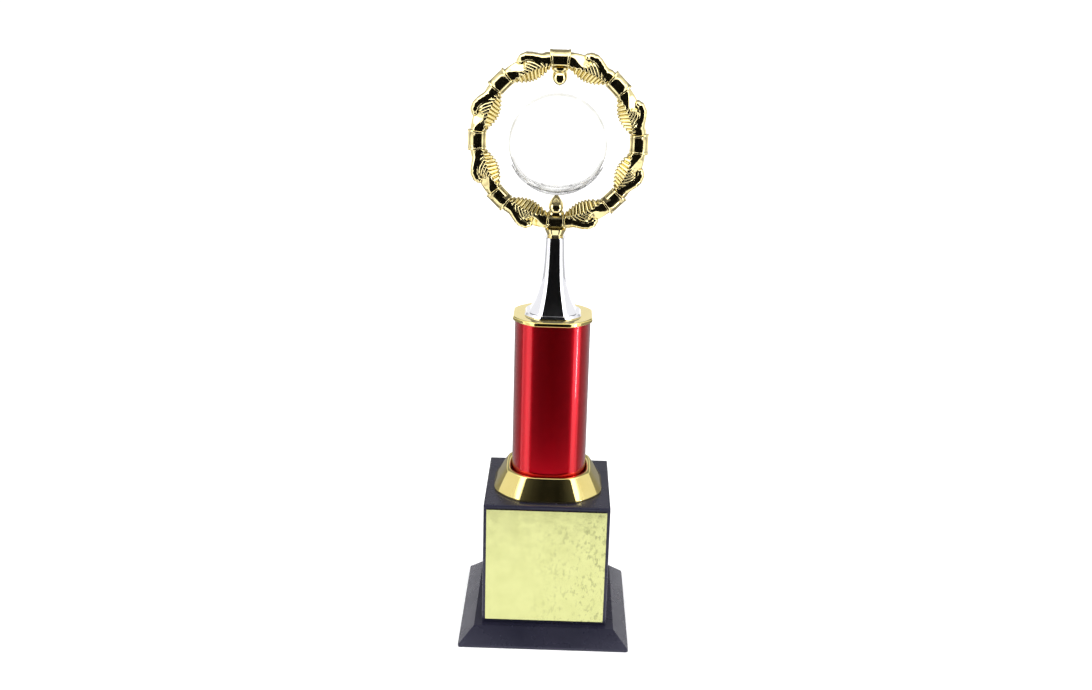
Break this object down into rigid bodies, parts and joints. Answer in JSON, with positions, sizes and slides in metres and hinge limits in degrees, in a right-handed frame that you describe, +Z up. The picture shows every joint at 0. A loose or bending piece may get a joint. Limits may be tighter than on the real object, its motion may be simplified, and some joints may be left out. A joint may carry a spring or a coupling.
{
  "type": "column trophy",
  "caption": "Award trophy: a gold wreath ring holding a clear disc, on a chrome riser stem, a red column with gold collar and cap, and a black square base with a blank gold plate.",
  "frame": {"origin": "middle of the underside of the base, on the surface it stands on", "axes": "+Z up the column; the blank plate and the ring's front face -Y; +X is to the right as seen from the front"},
  "size_m": [0.1032, 0.102, 0.3476],
  "materials": {
    "black_plastic": "moulded black plastic, satin, finely grained",
    "felt": "black felt",
    "ballast": "cast cement",
    "gold_sheet": "pale gold anodised mirror sheet",
    "tape": "double-sided foam tape",
    "gold_plastic": "vacuum-metallised gold, mirror bright",
    "red_tube": "candy red metallic foil under clear gloss",
    "grey_plastic": "plain moulded plastic",
    "chrome_plastic": "vacuum-metallised chrome, mirror bright",
    "clear_glass": "polished clear glass with a bevelled rim",
    "clear_acrylic": "clear cast acrylic",
    "steel": "zinc-plated steel",
    "brass": "plain brass"
  },
  "bodies": {
    "root": {"base_plinth": "black_plastic", "base_felt": "felt", "base_block": "black_plastic", "ballast_block": "ballast", "front_plate": "gold_sheet", "plate_tape": "tape", "collar": "gold_plastic", "column_tube": "red_tube", "tube_bottom_plug": "grey_plastic", "tube_top_plug": "grey_plastic", "column_cap": "gold_plastic", "riser_stem": "chrome_plastic", "ring_ferrule": "gold_plastic", "ring_front": "gold_plastic", "ring_back": "gold_plastic", "upper_boss": "gold_plastic", "lower_boss": "gold_plastic", "disc_cradle": "clear_acrylic", "clear_disc": "clear_glass", "tie_rod": "steel", "bottom_washer": "steel", "bottom_nut": "brass"}
  },
  "joints": []
}
